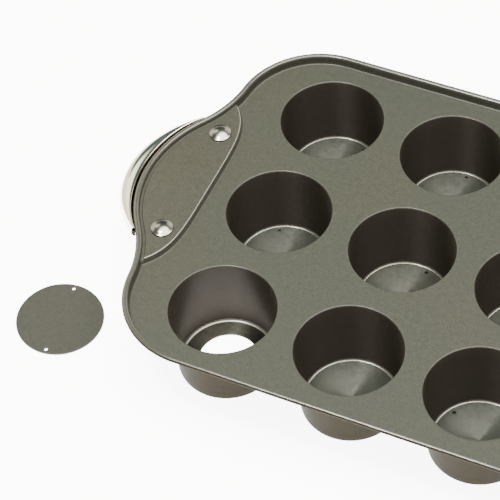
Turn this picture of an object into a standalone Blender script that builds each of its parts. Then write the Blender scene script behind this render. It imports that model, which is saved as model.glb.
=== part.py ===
"""Mini cheesecake pan: a coated steel sheet with twelve straight cups on a square grid,
each with a loose round bottom that rests on a narrow ledge. The sheet's raised rim swells
into a grip tab at both short ends, where a curled steel handle is riveted under a raised
leaf-shaped panel. One bottom lies beside the pan, as it does when its cake has been lifted.

Units are metres, +Z is up. The origin is the middle of the deck's top face.
"""
import math

import bmesh
import bpy
from mathutils import Matrix

# Sheet
SHEET = 0.0008
TOUCH_GAP = 0.0003

# Cups, on a square grid
COLUMNS = 4
ROWS = "abc"
CUP_PITCH = 0.0635
MOUTH_RADIUS = 0.0253
MOUTH_FILLET = 0.0012
CUP_DEPTH = 0.0384
BASE_RADIUS = 0.0231
BASE_FILLET = 0.0012
LEDGE_HOLE_RADIUS = 0.0144
CUP_SIDES = 24
MOUTH_STEPS = 2
BASE_STEPS = 1

# Loose bottoms
DISC_THICKNESS = 0.0009
DISC_CLEARANCE = 0.0003
DISC_SIDES = 32
VENT_RADIUS = 0.0009
VENT_INSET = 0.0024
VENT_SIDES = 6
LOOSE_CUP = "a1"
LOOSE_DISC_FROM_CUP = (-0.0863, -0.0090)
VENT_ANGLES = {
    "a1": 97, "a2": 15, "a3": 148, "a4": 96,
    "b1": 120, "b2": 77, "b3": 41, "b4": 8,
    "c1": 64, "c2": 90, "c3": 130, "c4": 58,
}

# Outline of the rim, seen from above
SIDE_MARGIN = 0.0387
END_MARGIN = 0.0486
CORNER_RADIUS = 0.0417
TAB_REACH = 0.0220
TAB_RADIUS = 0.0629
SHOULDER_RADIUS = 0.0575
CORNER_STEPS = 7
TAB_STEPS = 10
PLATE_CORNER_STEPS = 9
PLATE_TAB_STEPS = 13

# Rim section
RIM_HEIGHT = 0.0048
BEAD_WIDTH = 0.0026
BEAD_HEIGHT = 0.0022
BEAD_ROUNDING = 0.0006
WALL_LEAN = 0.0003

# Raised leaf panel on each tab
LEAF_HEIGHT = 0.0030
LEAF_WIDTH = 0.0344
LEAF_HALF_LENGTH = 0.0538
LEAF_SQUARENESS = 5
LEAF_TIP_LENGTH = 0.0032
LEAF_STEPS = 12

# Handles
HANDLE_SHEET = 0.0012
HANDLE_REACH = 0.0097
HANDLE_RADIUS = 0.0464
HANDLE_HALF_WIDTH = 0.0383
CURL_WIDTH = 0.0060
CURL_DROP = 0.0022
CURL_SKIRT = 0.0012
LUG_RADIUS = 0.0058
CURL_STEPS = 4
HANDLE_STEPS = 20
LUG_STEPS = 6

# Rivets
RIVET_FROM_TAB_END = 0.0244
RIVET_HALF_SPACING = 0.0325
RIVET_HEAD_RADIUS = 0.0055
RIVET_HEAD_HEIGHT = 0.0022
RIVET_SHANK_RADIUS = 0.0025
RIVET_TAIL_RADIUS = 0.0040
RIVET_TAIL_HEIGHT = 0.0012
RIVET_SIDES = 16
RIVET_DOME_STEPS = 4

# Lengths that follow from the ones above
HALF_LENGTH = (COLUMNS - 1) / 2 * CUP_PITCH + END_MARGIN
HALF_WIDTH = (len(ROWS) - 1) / 2 * CUP_PITCH + SIDE_MARGIN
TAB_END = HALF_LENGTH + TAB_REACH
TAB_CENTRE = TAB_END - TAB_RADIUS
CORNER_X = HALF_LENGTH - CORNER_RADIUS
CORNER_Y = HALF_WIDTH - CORNER_RADIUS
LEDGE_TOP = -CUP_DEPTH
CUP_UNDERSIDE = LEDGE_TOP - SHEET
DISC_RADIUS = BASE_RADIUS - BASE_FILLET - DISC_CLEARANCE
WALL_TOP_INSET = BEAD_WIDTH + TOUCH_GAP
WALL_FOOT_INSET = WALL_TOP_INSET + WALL_LEAN
PLATE_INSET = WALL_FOOT_INSET - SHEET / 2
RIVET_X = TAB_END - RIVET_FROM_TAB_END
HANDLE_CENTRE = TAB_END + HANDLE_REACH - HANDLE_RADIUS
LUG_X = RIVET_X - HANDLE_CENTRE
LUG_ANGLE = math.atan2(RIVET_HALF_SPACING, LUG_X)
LUG_REACH = math.hypot(LUG_X, RIVET_HALF_SPACING)
HANDLE_INNER_RADIUS = LUG_REACH - LUG_RADIUS
HANDLE_TOP = min(LEAF_HEIGHT - SHEET, RIM_HEIGHT - BEAD_HEIGHT) - TOUCH_GAP

# How far a cutter, or a blank that is trimmed, runs past the finished faces
CUT_MARGIN = 0.004

# Corners closer together than this are made one
WELD_DISTANCE = 0.000002
DECK_SOLVER = "MANIFOLD"


def clear_scene():
    for old in list(bpy.data.objects):
        bpy.data.objects.remove(old, do_unlink=True)


def new_collection(name):
    group = bpy.data.collections.new(name)
    bpy.context.scene.collection.children.link(group)
    return group


def material(name, colour, roughness, metallic):
    finish = bpy.data.materials.new(name)
    finish.use_nodes = True
    shader = finish.node_tree.nodes["Principled BSDF"]
    shader.inputs["Base Color"].default_value = (*colour, 1.0)
    shader.inputs["Roughness"].default_value = roughness
    shader.inputs["Metallic"].default_value = metallic
    finish.diffuse_color = (*colour, 1.0)
    return finish


def add_object(name, data, group, finish=None):
    item = bpy.data.objects.new(name, data)
    group.objects.link(item)
    if finish is not None:
        data.materials.clear()
        data.materials.append(finish)
    return item


def hide_cutter(item):
    item.hide_render = True
    item.display_type = "WIRE"


def shade_round(item):
    item.data.shade_smooth()
    item.data.set_sharp_from_angle(angle=math.radians(35))


def evaluated_mesh(item, name):
    """A closed mesh of what the object shows, with loose caps welded on."""
    depsgraph = bpy.context.evaluated_depsgraph_get()
    mesh = bpy.data.meshes.new_from_object(item.evaluated_get(depsgraph))
    mesh.name = name
    shape = bmesh.new()
    shape.from_mesh(mesh)
    bmesh.ops.remove_doubles(shape, verts=shape.verts, dist=1e-6)
    bmesh.ops.recalc_face_normals(shape, faces=shape.faces)
    shape.to_mesh(mesh)
    shape.free()
    return mesh


def replace_curve(item):
    """Makes a mesh object of a curve object, in the same place and under the same name."""
    name = item.name
    group = item.users_collection[0]
    matrix = item.matrix_world.copy()
    mesh = evaluated_mesh(item, name)
    bpy.data.objects.remove(item, do_unlink=True)
    solid = add_object(name, mesh, group)
    solid.matrix_world = matrix
    return solid


def flat_curve(name, points):
    curve = bpy.data.curves.new(name, "CURVE")
    curve.dimensions = "2D"
    spline = curve.splines.new("POLY")
    spline.points.add(len(points) - 1)
    for point, (x, y) in zip(spline.points, points):
        point.co = (x, y, 0.0, 1.0)
    spline.use_cyclic_u = True
    return curve


def prism(name, points, bottom, top, group):
    """A flat outline with a thickness, from one height to another."""
    curve = flat_curve(name, points)
    curve.fill_mode = "BOTH"
    curve.extrude = (top - bottom) / 2
    item = add_object(name, curve, group)
    item.location.z = (top + bottom) / 2
    bpy.context.view_layer.update()
    return replace_curve(item)


def cylinders(name, centres, radius, bottom, top, sides, group):
    """Upright cylinders of one size, as one cutter."""
    mesh = bpy.data.meshes.new(name)
    shape = bmesh.new()
    for x, y in centres:
        place = Matrix.Translation((x, y, (top + bottom) / 2))
        bmesh.ops.create_cone(shape, cap_ends=True, segments=sides, radius1=radius,
                              radius2=radius, depth=top - bottom, matrix=place)
    shape.to_mesh(mesh)
    shape.free()
    item = add_object(name, mesh, group)
    hide_cutter(item)
    return item


def turned(name, profile, sides, group, angle=2 * math.pi):
    """Turns a profile of (radius, height) points about the object's own upright axis."""
    mesh = bpy.data.meshes.new(name)
    shape = bmesh.new()
    corners = [shape.verts.new((radius, 0.0, height)) for radius, height in profile]
    full_turn = abs(angle - 2 * math.pi) < 1e-9
    for first, second in zip(corners, corners[1:]):
        shape.edges.new((first, second))
    if full_turn and profile[0][0] > 0:
        shape.edges.new((corners[-1], corners[0]))
    shape.to_mesh(mesh)
    shape.free()
    item = add_object(name, mesh, group)
    screw = item.modifiers.new("turn", "SCREW")
    screw.axis = "Z"
    screw.angle = angle
    screw.steps = sides
    screw.render_steps = sides
    screw.use_merge_vertices = full_turn
    screw.merge_threshold = 0.00001
    return item


def boolean(item, operation, tool, solver="EXACT"):
    cut = item.modifiers.new(operation.lower(), "BOOLEAN")
    cut.operation = operation
    cut.solver = solver
    cut.object = tool


def arc(centre, radius, start, end, steps):
    """Points along an arc; angles are in radians."""
    angles = [start + (end - start) * step / steps for step in range(steps + 1)]
    return [(centre[0] + radius * math.cos(a), centre[1] + radius * math.sin(a)) for a in angles]


def quarter_turn(steps):
    """Angles from nothing to a right angle."""
    return [math.pi / 2 * step / steps for step in range(steps + 1)]


def shoulder_centre():
    """Centre of the hollow arc that touches both the tab's round end and the corner."""
    away_x = CORNER_X - TAB_CENTRE
    away_y = CORNER_Y
    span = math.hypot(away_x, away_y)
    to_tab = TAB_RADIUS + SHOULDER_RADIUS
    to_corner = CORNER_RADIUS + SHOULDER_RADIUS
    along = (to_tab ** 2 - to_corner ** 2 + span ** 2) / (2 * span)
    across = math.sqrt(to_tab ** 2 - along ** 2)
    x = TAB_CENTRE + (away_x * along + away_y * across) / span
    return x, (away_y * along - away_x * across) / span


def tab_edge(y, inset):
    """How far out the rim reaches at a distance y from the tab's middle."""
    hollow_x, hollow_y = shoulder_centre()
    turn_y = hollow_y * (TAB_RADIUS - inset) / (TAB_RADIUS + SHOULDER_RADIUS)
    if abs(y) <= turn_y:
        return TAB_CENTRE + math.sqrt((TAB_RADIUS - inset) ** 2 - y * y)
    return hollow_x - math.sqrt((SHOULDER_RADIUS + inset) ** 2 - (hollow_y - abs(y)) ** 2)


def rim_outline(inset, tab_steps, corner_steps):
    """The rim's outline at a distance inside its outer edge, counterclockwise."""
    hollow_x, hollow_y = shoulder_centre()
    corner_turn = math.atan2(hollow_y - CORNER_Y, hollow_x - CORNER_X)
    corner_start = CORNER_Y + (CORNER_RADIUS - inset) * math.sin(corner_turn)
    quarter = []
    for step in range(tab_steps + 1):
        y = corner_start * step / tab_steps
        quarter.append((tab_edge(y, inset), y))
    quarter += arc((CORNER_X, CORNER_Y), CORNER_RADIUS - inset, corner_turn, math.pi / 2, corner_steps)[1:]
    upper = quarter + [(-x, y) for x, y in reversed(quarter)]
    return upper + [(x, -y) for x, y in reversed(upper[1:-1])]


def rim_section():
    """The rim's section: how far inside the outer edge, and how high."""
    bead_bottom = RIM_HEIGHT - BEAD_HEIGHT
    inner_lean = WALL_LEAN * bead_bottom / RIM_HEIGHT
    outer_top = WALL_FOOT_INSET - SHEET - inner_lean
    return [
        (WALL_FOOT_INSET, -SHEET / 2),
        (WALL_TOP_INSET, RIM_HEIGHT - BEAD_ROUNDING),
        (WALL_TOP_INSET - BEAD_ROUNDING, RIM_HEIGHT),
        (BEAD_ROUNDING, RIM_HEIGHT),
        (0.0, RIM_HEIGHT - BEAD_ROUNDING),
        (0.0, bead_bottom + BEAD_ROUNDING),
        (BEAD_ROUNDING, bead_bottom),
        (outer_top, bead_bottom),
        (WALL_FOOT_INSET - SHEET, -SHEET / 2),
    ]


def rim_ring(group, guides):
    """The rim's wall and bead: its section swept round the outline."""
    path_inset = BEAD_WIDTH
    section = flat_curve("rim_section", [(inset - path_inset, height) for inset, height in rim_section()])
    section_object = add_object("rim_section", section, guides)
    hide_cutter(section_object)
    path = flat_curve("rim_ring", rim_outline(path_inset, TAB_STEPS, CORNER_STEPS))
    path.bevel_mode = "OBJECT"
    path.bevel_object = section_object
    item = add_object("rim_ring", path, group)
    bpy.context.view_layer.update()
    return replace_curve(item)


def leaf_outline(inset_deck_side, inset_rim_side, half_length):
    """The leaf panel at the +X end: a bowed inner edge, and an outer edge along the rim."""
    tip = tab_edge(half_length, PLATE_INSET)
    middle = TAB_END - LEAF_WIDTH
    inner = []
    for step in range(-LEAF_STEPS // 2, LEAF_STEPS // 2 + 1):
        share = math.sin(math.pi * step / LEAF_STEPS)
        bow = (tip - middle) * abs(share) ** LEAF_SQUARENESS
        inner.append((middle + inset_deck_side + bow, -half_length * share))
    outer = []
    for step in range(LEAF_STEPS + 1):
        y = half_length * (2 * step / LEAF_STEPS - 1)
        outer.append((tab_edge(y, inset_rim_side), y))
    return inner + outer


def both_ends(points):
    return [points, [(-x, -y) for x, y in points]]


def cup_centre(cup):
    row = ROWS.index(cup[0])
    column = int(cup[1:]) - 1
    x = (column - (COLUMNS - 1) / 2) * CUP_PITCH
    y = (row - (len(ROWS) - 1) / 2) * CUP_PITCH
    return x, y


def rivet_places():
    places = {}
    for end, sign in (("left", -1), ("right", 1)):
        places[f"rivet_{end}_near"] = (sign * RIVET_X, -RIVET_HALF_SPACING)
        places[f"rivet_{end}_far"] = (sign * RIVET_X, RIVET_HALF_SPACING)
    return places


def make_deck(cups, parts, cutters, finish):
    """The deck, its raised rim and both tabs with their hollow leaf panels."""
    plate = rim_outline(PLATE_INSET, PLATE_TAB_STEPS, PLATE_CORNER_STEPS)
    deck = prism("deck", plate, -SHEET, 0.0, parts)
    ring = rim_ring(cutters, cutters)
    hide_cutter(ring)
    boolean(deck, "UNION", ring, DECK_SOLVER)
    leaf = leaf_outline(0.0, PLATE_INSET, LEAF_HALF_LENGTH)
    under = leaf_outline(SHEET, -CUT_MARGIN, LEAF_HALF_LENGTH - LEAF_TIP_LENGTH)
    for end, points in zip(("right", "left"), both_ends(leaf)):
        panel = prism(f"leaf_{end}", points, -SHEET / 2, LEAF_HEIGHT, cutters)
        hide_cutter(panel)
        boolean(deck, "UNION", panel, DECK_SOLVER)
    for end, points in zip(("right", "left"), both_ends(under)):
        hollow = prism(f"leaf_hollow_{end}", points, -SHEET - CUT_MARGIN, LEAF_HEIGHT - SHEET, cutters)
        hide_cutter(hollow)
        boolean(deck, "DIFFERENCE", hollow, DECK_SOLVER)
    cup_hole = MOUTH_RADIUS + MOUTH_FILLET + TOUCH_GAP
    centres = [cup_centre(cup) for cup in cups]
    holes = cylinders("cup_holes", centres, cup_hole, -CUT_MARGIN, CUT_MARGIN, CUP_SIDES, cutters)
    boolean(deck, "DIFFERENCE", holes, DECK_SOLVER)
    rivet_holes = cylinders("rivet_holes", rivet_places().values(), RIVET_SHANK_RADIUS + TOUCH_GAP,
                            -CUT_MARGIN, LEAF_HEIGHT + CUT_MARGIN, RIVET_SIDES, cutters)
    boolean(deck, "DIFFERENCE", rivet_holes, DECK_SOLVER)
    weld = deck.modifiers.new("weld", "WELD")
    weld.merge_threshold = WELD_DISTANCE
    deck.data.materials.append(finish)
    shade_round(deck)
    return rivet_holes


def cup_profile():
    """Radius and height round the section of a cup: lip, wall, ledge, and back up outside."""
    inside = []
    for turn in quarter_turn(MOUTH_STEPS):
        inside.append((MOUTH_RADIUS + MOUTH_FILLET * (1 - math.sin(turn)),
                       -MOUTH_FILLET * (1 - math.cos(turn))))
    for turn in quarter_turn(BASE_STEPS):
        inside.append((BASE_RADIUS - BASE_FILLET * (1 - math.cos(turn)),
                       LEDGE_TOP + BASE_FILLET * (1 - math.sin(turn))))
    inside.append((LEDGE_HOLE_RADIUS, LEDGE_TOP))
    outside = [(LEDGE_HOLE_RADIUS, CUP_UNDERSIDE)]
    for turn in quarter_turn(BASE_STEPS):
        outside.append((BASE_RADIUS - BASE_FILLET + (BASE_FILLET + SHEET) * math.sin(turn),
                        LEDGE_TOP + BASE_FILLET - (BASE_FILLET + SHEET) * math.cos(turn)))
    outside.append((MOUTH_RADIUS + SHEET, -MOUTH_FILLET - SHEET))
    outside.append((MOUTH_RADIUS + MOUTH_FILLET, -SHEET))
    return list(reversed(inside + outside))


def make_cup(cup, mesh_source, parts, finish):
    x, y = cup_centre(cup)
    if mesh_source is None:
        item = turned(f"cup_{cup}", cup_profile(), CUP_SIDES, parts)
        mesh = evaluated_mesh(item, "cup")
        bpy.data.objects.remove(item, do_unlink=True)
    else:
        mesh = mesh_source
    item = add_object(f"cup_{cup}", mesh, parts, finish)
    item.location = (x, y, 0.0)
    shade_round(item)
    return mesh


def disc_place(cup):
    x, y = cup_centre(cup)
    if cup == LOOSE_CUP:
        return x + LOOSE_DISC_FROM_CUP[0], y + LOOSE_DISC_FROM_CUP[1], CUP_UNDERSIDE
    return x, y, LEDGE_TOP + TOUCH_GAP


def make_disc(cup, parts, cutters, finish):
    """A flat bottom with two small vent holes opposite each other."""
    mesh = bpy.data.meshes.new(f"disc_{cup}")
    shape = bmesh.new()
    middle = Matrix.Translation((0.0, 0.0, DISC_THICKNESS / 2))
    bmesh.ops.create_cone(shape, cap_ends=True, segments=DISC_SIDES, radius1=DISC_RADIUS,
                          radius2=DISC_RADIUS, depth=DISC_THICKNESS, matrix=middle)
    shape.to_mesh(mesh)
    shape.free()
    item = add_object(f"disc_{cup}", mesh, parts, finish)
    item.location = disc_place(cup)
    item.rotation_euler.z = math.radians(VENT_ANGLES[cup])
    reach = DISC_RADIUS - VENT_INSET
    vents = cylinders(f"vents_{cup}", [(reach, 0.0), (-reach, 0.0)], VENT_RADIUS,
                      -CUT_MARGIN, CUT_MARGIN, VENT_SIDES, cutters)
    vents.location = item.location
    vents.rotation_euler = item.rotation_euler
    boolean(item, "DIFFERENCE", vents)
    shade_round(item)


def handle_profile():
    """Top side of the handle's sheet: flat under the leaf panel, then curled down."""
    curl_start = HANDLE_RADIUS - CURL_WIDTH
    points = [(HANDLE_INNER_RADIUS - CUT_MARGIN, HANDLE_TOP)]
    for turn in quarter_turn(CURL_STEPS):
        points.append((curl_start + CURL_WIDTH * math.sin(turn),
                       HANDLE_TOP - CURL_DROP * (1 - math.cos(turn))))
    points.append((HANDLE_RADIUS, HANDLE_TOP - CURL_DROP - CURL_SKIRT))
    return points


def handle_outline():
    """Plan of the handle from its arc's centre: square-cut ends and a round lug at each rivet."""
    beyond = HANDLE_RADIUS + CUT_MARGIN
    points = [(beyond, -HANDLE_HALF_WIDTH), (beyond, HANDLE_HALF_WIDTH)]
    points += arc((LUG_X, RIVET_HALF_SPACING), LUG_RADIUS, math.pi / 2, LUG_ANGLE + math.pi, LUG_STEPS)
    points += arc((0.0, 0.0), HANDLE_INNER_RADIUS, LUG_ANGLE, -LUG_ANGLE, LUG_STEPS)[1:-1]
    points += arc((LUG_X, -RIVET_HALF_SPACING), LUG_RADIUS, math.pi - LUG_ANGLE, 3 * math.pi / 2, LUG_STEPS)
    return points


def make_handle(end, turn, rivet_holes, parts, cutters, finish):
    """A curled strip under one tab: turned about the centre of its outer arc, then cut to its plan."""
    half_spread = LUG_ANGLE + math.asin((LUG_RADIUS + TOUCH_GAP) / LUG_REACH)
    name = f"handle_{end}"
    strip = turned(name, handle_profile(), HANDLE_STEPS, parts, 2 * half_spread)
    thick = strip.modifiers.new("sheet", "SOLIDIFY")
    thick.thickness = HANDLE_SHEET
    thick.offset = -1.0
    strip.rotation_euler.z = turn - half_spread
    strip.location.x = math.cos(turn) * HANDLE_CENTRE
    plan = prism(f"handle_plan_{end}", handle_outline(), -CUP_DEPTH, RIM_HEIGHT + CUT_MARGIN, cutters)
    plan.rotation_euler.z = turn
    plan.location.x = strip.location.x
    hide_cutter(plan)
    boolean(strip, "INTERSECT", plan)
    boolean(strip, "DIFFERENCE", rivet_holes)
    strip.data.materials.append(finish)
    shade_round(strip)


def rivet_profile():
    """Radius and height of a rivet: domed head, shank and clinched tail."""
    head_seat = LEAF_HEIGHT + TOUCH_GAP
    tail_seat = HANDLE_TOP - HANDLE_SHEET - TOUCH_GAP
    dome = []
    for turn in quarter_turn(RIVET_DOME_STEPS):
        dome.append((RIVET_HEAD_RADIUS * math.sin(turn), head_seat + RIVET_HEAD_HEIGHT * math.cos(turn)))
    return dome + [
        (RIVET_SHANK_RADIUS, head_seat),
        (RIVET_SHANK_RADIUS, tail_seat),
        (RIVET_TAIL_RADIUS, tail_seat),
        (RIVET_TAIL_RADIUS, tail_seat - RIVET_TAIL_HEIGHT),
        (0.0, tail_seat - RIVET_TAIL_HEIGHT),
    ]


def make_rivet(name, place, parts, finish):
    item = turned(name, rivet_profile(), RIVET_SIDES, parts)
    mesh = evaluated_mesh(item, name)
    bpy.data.objects.remove(item, do_unlink=True)
    item = add_object(name, mesh, parts, finish)
    item.location = (*place, 0.0)
    shade_round(item)


def build():
    clear_scene()
    parts = new_collection("mini_cheesecake_pan")
    cutters = new_collection("cutters")
    coating = material("pan_coating", (0.16, 0.155, 0.14), 0.42, 0.35)
    disc_coating = material("disc_coating", (0.19, 0.185, 0.165), 0.38, 0.40)
    polished = material("polished_steel", (0.82, 0.81, 0.78), 0.08, 1.0)
    cups = [f"{row}{column + 1}" for row in ROWS for column in range(COLUMNS)]
    rivet_holes = make_deck(cups, parts, cutters, coating)
    cup_mesh = None
    for cup in cups:
        cup_mesh = make_cup(cup, cup_mesh, parts, coating)
        make_disc(cup, parts, cutters, disc_coating)
    make_handle("right", 0.0, rivet_holes, parts, cutters, polished)
    make_handle("left", math.pi, rivet_holes, parts, cutters, polished)
    for name, place in rivet_places().items():
        make_rivet(name, place, parts, polished)


build()
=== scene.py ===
"""Looks of the mini cheesecake pan: one continuous coated sheet with its cups, rim and leaf panels,
loose bottoms, polished handles and rivets, on a plain pale floor under soft light."""
import math

import bmesh
import bpy
import numpy as np
from mathutils import Matrix, Vector
from mathutils.geometry import delaunay_2d_cdt


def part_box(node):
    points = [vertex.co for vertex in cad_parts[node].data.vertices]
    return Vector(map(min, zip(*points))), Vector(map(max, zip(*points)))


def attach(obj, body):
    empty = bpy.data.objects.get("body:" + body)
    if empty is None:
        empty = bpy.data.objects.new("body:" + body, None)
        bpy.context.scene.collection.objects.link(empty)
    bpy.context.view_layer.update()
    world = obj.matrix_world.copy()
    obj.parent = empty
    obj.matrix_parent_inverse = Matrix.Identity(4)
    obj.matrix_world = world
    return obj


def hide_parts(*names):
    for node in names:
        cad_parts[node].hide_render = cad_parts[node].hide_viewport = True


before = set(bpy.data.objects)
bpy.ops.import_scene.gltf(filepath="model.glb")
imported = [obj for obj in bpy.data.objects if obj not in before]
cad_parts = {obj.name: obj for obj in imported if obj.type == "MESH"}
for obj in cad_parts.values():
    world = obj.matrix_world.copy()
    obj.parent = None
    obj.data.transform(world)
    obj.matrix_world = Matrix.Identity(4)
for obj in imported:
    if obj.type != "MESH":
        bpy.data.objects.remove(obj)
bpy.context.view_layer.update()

MM = 0.001

# Sheet and cups, the same driving sizes as the solids
SHEET = 0.8 * MM
MOUTH_RADIUS = 25.3 * MM
MOUTH_FILLET = 0.75 * MM
BASE_RADIUS = 23.1 * MM
BASE_FILLET = 1.2 * MM
LEDGE_HOLE_RADIUS = 14.4 * MM
HOLE_LIP = 0.25 * MM

# Outline of the rim
CORNER_RADIUS = 41.7 * MM
TAB_REACH = 22.0 * MM
TAB_RADIUS = 62.9 * MM
SHOULDER_RADIUS = 57.5 * MM
OUTLINE_STEP = 2.2 * MM
LONG_SIDE_STEP = 3 * OUTLINE_STEP

# Rim section
BEAD_HALF_WIDTH = 1.45 * MM
BEAD_SIDE = 0.45 * MM
BEAD_HALF_HEIGHT = 1.1 * MM
WALL_LEAN = math.radians(6)
FOOT_FILLET = 0.7 * MM
BEAD_WALL_GAP = 0.05 * MM

# Leaf panel
LEAF_HEIGHT = 3.0 * MM
LEAF_WIDTH = 34.4 * MM
LEAF_HALF_LENGTH = 53.8 * MM
LEAF_SQUARENESS = 5
LEAF_EDGE_INSET = 3.1 * MM
LEAF_RIM_INSET = 4.2 * MM
LEAF_WALL_SLOPE = math.radians(74)
LEAF_FILLET = 0.65 * MM
LEAF_RIM_FILLET = 0.4 * MM
LEAF_FOOT_FILLET = 0.4 * MM
LEAF_WALL_THINNING = 0.55
LEAF_OVERRUN = 1.045
FAR_FROM_LEAF = 1.0
GROOVE_HEIGHT = 2.25 * MM
GROOVE_BLEND = 0.3 * MM
HANDLE_CLEARANCE = 0.05 * MM

# Handle
HANDLE_SHEET = 1.2 * MM
HANDLE_RADIUS = 46.4 * MM
HANDLE_CREST = 2.7 * MM
CREST_RISE_LENGTH = 1.3 * MM
CREST_RISE_SHARE = 0.4
HANDLE_RIM_GAP = 0.1 * MM
HANDLE_SKIRT = 1.2 * MM
HANDLE_EDGE_ROUND = 0.22 * MM
HANDLE_EDGE_ANGLE = math.radians(45)
SQUARE_CUT_FADE = 8
LUG_RADIUS = 5.8 * MM

# Rivets: a dome over most of the head, a rounded edge, a shank and a clinched tail
RIVET_DOME_WIDTH = 0.9
RIVET_DOME_RISE = 0.62
RIVET_EDGE_TURN = math.radians(60)
RIVET_SEAT_WIDTH = 0.985
RIVET_SEAT_DEPTH = 0.05 * MM
RIVET_SHANK_RADIUS = 2.5 * MM
RIVET_TAIL_RADIUS = 4.0 * MM
RIVET_TAIL_GAP = 0.02 * MM
RIVET_TAIL_TOP_WIDTH = 0.9
RIVET_TAIL_BEVEL = 0.15 * MM
RIVET_TAIL_TURN = math.radians(75)
RIVET_TAIL_FLAT = 0.55
RIVET_TAIL_WALL = 0.35

# Loose bottoms; the box of their 32-sided solids is a little narrower than the true circle
DISC_SOLID_SHRINK = math.cos(math.pi / 64) ** 0.5
VENT_RADIUS = 0.9 * MM
VENT_INSET = 2.4 * MM
DISC_EDGE = 0.18 * MM
DISC_EDGE_SHARES = (0.0, 0.3, 1.0, 2.2)
LOOSE_CUP = "a1"
VENT_ANGLES = {
    "a1": 97, "a2": 15, "a3": 148, "a4": 96,
    "b1": 120, "b2": 77, "b3": 41, "b4": 8,
    "c1": 64, "c2": 90, "c3": 130, "c4": 58,
}

# Fineness: steps of the arcs, shares of the straight runs, and narrow strips beside the fillets
BEAD_STEPS = 14
BEAD_UNDER_STEPS = 40
BEAD_UNDER_SPACING = 0.12 * MM
RIM_WALL_SHARES = (0.35, 0.7)
RIM_FOOT_STEPS = 5
RIM_LINE_SPACING = 0.06 * MM
LEAF_STEPS = 5
LEAF_FOOT_STEPS = 4
LEAF_LINE_SPACING = 0.1 * MM
LEAF_EDGE_POINTS = 110
LEAF_EDGE_SWEEP = 0.999
LEAF_MEASURING_POINTS = 400
SHEET_STRIP = 0.25 * MM
CUP_SIDES = 80
MOUTH_STEPS = 7
FOOT_STEPS = 6
WALL_SHARES = (0.12, 0.35, 0.6, 0.85, 0.96)
FOOT_STRIP = 0.3 * MM
HOLE_STRIP = 0.2 * MM
HOLE_LIP_STEPS = 3
OUTER_FOOT_STEPS = 6
OUTER_WALL_SHARES = (0.06, 0.3, 0.6, 0.9)
OUTER_MOUTH_STEPS = 4
DISC_SIDES = 80
VENT_SIDES = 14
VENT_STRIP = 0.15 * MM
LUG_STEPS = 12
HANDLE_INNER_STEPS = 40
HANDLE_COLUMNS = 97
HANDLE_PLATE_SHARES = (0.0, 0.02, 0.35, 0.7, 0.97)
CREST_STEPS = 10
CURL_STEPS = 22
LIP_STEPS = 6
HANDLE_EDGE_SEGMENTS = 2
RIVET_SIDES = 48
RIVET_DOME_STEPS = 10
RIVET_EDGE_STEPS = 5
RIVET_TAIL_STEPS = 6
DISC_SMOOTH_ANGLE = math.radians(50)
STEEL_SMOOTH_ANGLE = math.radians(40)

# Working values of the plan's triangulation
PLAN_SCALE = 1000.0
PLAN_TOLERANCE = 1e-5
PLAN_DIGITS = 7
SAME_PLACE = 1e-7
ON_RING = 0.01 * MM
POINTS_AT_ONCE = 2000

# Material slots of the sheet
# The leaf panel's rounded shoulder on the deck side has its own much lighter, glossier coat: a
# painted highlight line
FACE, OUTSIDE, SHADED_WALL, LEDGE, FOOT_HIGHLIGHT, BEAD, SHOULDER_HIGHLIGHT = range(7)

# What the frame gives
CUPS = sorted(name[4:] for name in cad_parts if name.startswith("cup_"))
DECK_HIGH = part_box("deck")[1]
RIM_HEIGHT = DECK_HIGH.z
TAB_END = DECK_HIGH.x
HALF_WIDTH = DECK_HIGH.y
HALF_LENGTH = TAB_END - TAB_REACH
TAB_CENTRE = TAB_END - TAB_RADIUS
CORNER_X = HALF_LENGTH - CORNER_RADIUS
CORNER_Y = HALF_WIDTH - CORNER_RADIUS
CUP_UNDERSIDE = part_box("cup_a1")[0].z
LEDGE_TOP = CUP_UNDERSIDE + SHEET
HANDLE_LOW, HANDLE_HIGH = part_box("handle_right")
HANDLE_CENTRE = HANDLE_HIGH.x - HANDLE_RADIUS
HANDLE_HALF_WIDTH = HANDLE_HIGH.y
HANDLE_TOP = HANDLE_HIGH.z
FLOOR_HEIGHT = CUP_UNDERSIDE

# Noise in the materials: cycles per metre, and the span in which its values lie
GRAIN_SCALE = 1700.0
MOTTLE_SCALE = 420.0
DRIFT_SCALE = 16.0
HAZE_SCALE = 90.0
GRAIN_DETAIL = 2.0
CLOUD_DETAIL = 3.0
NOISE_ROUGHNESS = 0.5
NOISE_LOW = 0.3
NOISE_HIGH = 0.7

# Coat: its mottle, the drift of its tone, and the brown tinge towards the grips (x from and to)
MOTTLE_TONES = ((0.90, 0.90, 0.90), (1.0, 1.0, 1.0))
DRIFT_TONES = ((0.93, 0.965, 0.97), (1.0, 0.965, 0.935))
BROWN_FROM_TO = (0.100, 0.150)
MIDDLE_TINGE = (0.95, 0.95, 0.95)
BROWN = (1.0, 0.95, 0.94)
WARM_SHEEN = (1.0, 0.88, 0.78, 1.0)
COAT_ROUGHNESS_SWING = 0.04
COAT_TOOTH = 0.35
COAT_TOOTH_DEPTH = 0.06 * MM
TURNED_SPECKLE = 0.08
TURNED_TOOTH = 0.08
TURNED_ROTATION = 0.25
TURNING_MAP = "turning"
FACE_COAT = {"tone": (0.0342, 0.0366, 0.0284), "roughness": 0.33, "gloss": 0.25, "speckle": 0.30}
# Painted shade and painted warm bounce: a darker, browner, nearly glossless copy of the coat for
# the undersides and outer faces
OUTSIDE_SHADE_COAT = {"tone": (0.0215, 0.0183, 0.0120), "roughness": 0.50, "gloss": 0.015,
                "speckle": 0.20}
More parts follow.
